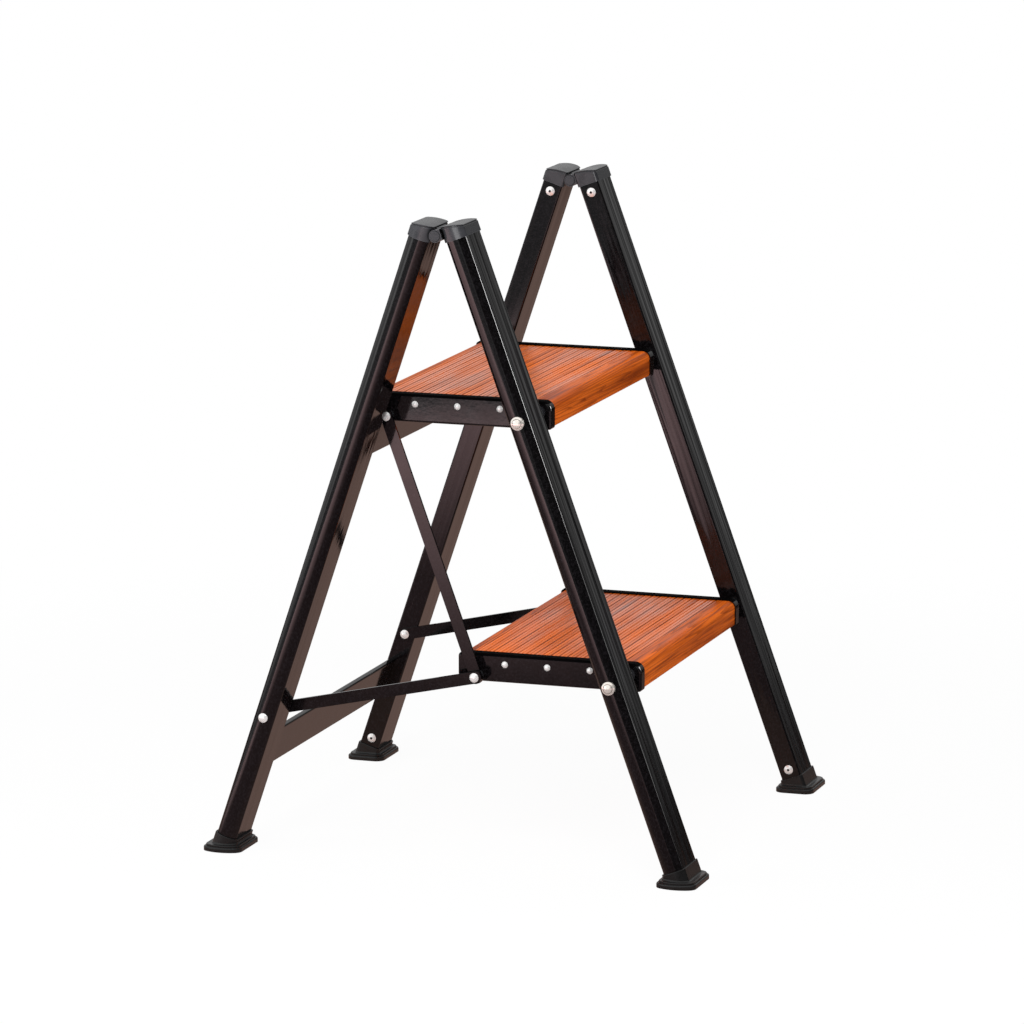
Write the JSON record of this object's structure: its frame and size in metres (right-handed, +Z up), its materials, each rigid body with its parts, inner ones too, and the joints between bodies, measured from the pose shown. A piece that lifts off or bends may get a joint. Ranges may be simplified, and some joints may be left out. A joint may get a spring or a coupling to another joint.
{
  "type": "folding step ladder",
  "caption": "Folding step ladder: two leaning tube frames hinged at the top, with ribbed wood-grain treads that swing up on link bars and struts as the frames close.",
  "frame": {"origin": "on the floor, at the middle of the ladder's footprint when it stands open", "axes": "+X across the ladder to the right of a climber, -Y the climbing side, +Z up"},
  "size_m": [0.511, 0.538, 0.6726],
  "materials": {
    "rail_paint": "gloss black powder coat on aluminium tube",
    "steel_paint": "gloss black paint on pressed steel",
    "cap_plastic": "fine-textured charcoal moulding",
    "foot_rubber": "satin black rubber",
    "tread_woodgrain": "wood-grain film on a ribbed aluminium plank",
    "pin_plastic": "charcoal moulded pin",
    "bush_plastic": "black moulded bush",
    "bright_zinc": "bright nickel plate"
  },
  "bodies": {
    "front_frame": {"front_cap_left": "cap_plastic", "front_cap_right": "cap_plastic", "front_cap_rivets": "bright_zinc", "front_foot_left": "foot_rubber", "front_foot_right": "foot_rubber", "front_foot_rivets": "bright_zinc", "front_rail_left": "rail_paint", "front_rail_right": "rail_paint", "hinge_pin_left": "pin_plastic", "hinge_pin_right": "pin_plastic", "lower_pivot_bolts": "bright_zinc", "pivot_bushes": "bush_plastic", "pivot_nuts": "bright_zinc", "upper_pivot_bolts": "bright_zinc"},
    "link_bar_left": {"link_bar_left": "steel_paint"},
    "link_bar_right": {"link_bar_right": "steel_paint"},
    "lower_step": {"lower_bracket_left": "steel_paint", "lower_bracket_right": "steel_paint", "lower_link_rivets": "bright_zinc", "lower_link_spacers": "bush_plastic", "lower_tread": "tread_woodgrain", "lower_tread_screws": "bright_zinc"},
    "rear_frame": {"lower_crossbar": "steel_paint", "rear_cap_left": "cap_plastic", "rear_cap_right": "cap_plastic", "rear_cap_rivets": "bright_zinc", "rear_foot_left": "foot_rubber", "rear_foot_right": "foot_rubber", "rear_foot_rivets": "bright_zinc", "rear_rail_left": "rail_paint", "rear_rail_right": "rail_paint", "strut_rear_rivets": "bright_zinc", "upper_crossbar": "steel_paint"},
    "strut_left": {"strut_front_rivet_left": "bright_zinc", "strut_left": "steel_paint"},
    "strut_right": {"strut_front_rivet_right": "bright_zinc", "strut_right": "steel_paint"},
    "upper_step": {"upper_bracket_left": "steel_paint", "upper_bracket_right": "steel_paint", "upper_link_rivets": "bright_zinc", "upper_link_spacers": "bush_plastic", "upper_tread": "tread_woodgrain", "upper_tread_screws": "bright_zinc"}
  },
  "joints": [
    {"name": "rear_fold", "type": "hinge", "parent": "front_frame", "child": "rear_frame", "pos_m": [0, 0.00971, 0.66], "axis": [-1, 0, 0], "range_deg": [0, 36.55]},
    {"name": "upper_step_fold", "type": "hinge", "parent": "front_frame", "child": "upper_step", "pos_m": [0, -0.07788, 0.47198], "axis": [1, 0, 0], "range_deg": [0, 67.4]},
    {"name": "lower_step_fold", "type": "hinge", "parent": "front_frame", "child": "lower_step", "pos_m": [0, -0.17553, 0.2037], "axis": [1, 0, 0], "range_deg": [0, 67.4]},
    {"name": "link_left_swing", "type": "hinge", "parent": "upper_step", "child": "link_bar_left", "pos_m": [-0.189, 0.08412, 0.46118], "axis": [1, 0, 0], "range_deg": [-67.4, 0]},
    {"name": "strut_left_swing", "type": "hinge", "parent": "rear_frame", "child": "strut_left", "pos_m": [-0.1949, 0.20066, 0.14604], "axis": [1, 0, 0], "range_deg": [-51.7, 0]},
    {"name": "link_right_swing", "type": "hinge", "parent": "upper_step", "child": "link_bar_right", "pos_m": [0.189, 0.08412, 0.46118], "axis": [1, 0, 0], "range_deg": [-67.4, 0]},
    {"name": "strut_right_swing", "type": "hinge", "parent": "rear_frame", "child": "strut_right", "pos_m": [0.1949, 0.20066, 0.14604], "axis": [1, 0, 0], "range_deg": [-51.7, 0]}
  ],
  "couplings": [
    {"joint": "upper_step_fold", "follows": "rear_fold", "ratio": 1.8415},
    {"joint": "lower_step_fold", "follows": "rear_fold", "ratio": 1.8415},
    {"joint": "link_left_swing", "follows": "rear_fold", "ratio": -1.8415},
    {"joint": "strut_left_swing", "follows": "rear_fold", "ratio": -1.4118},
    {"joint": "link_right_swing", "follows": "rear_fold", "ratio": -1.8415},
    {"joint": "strut_right_swing", "follows": "rear_fold", "ratio": -1.4118}
  ]
}
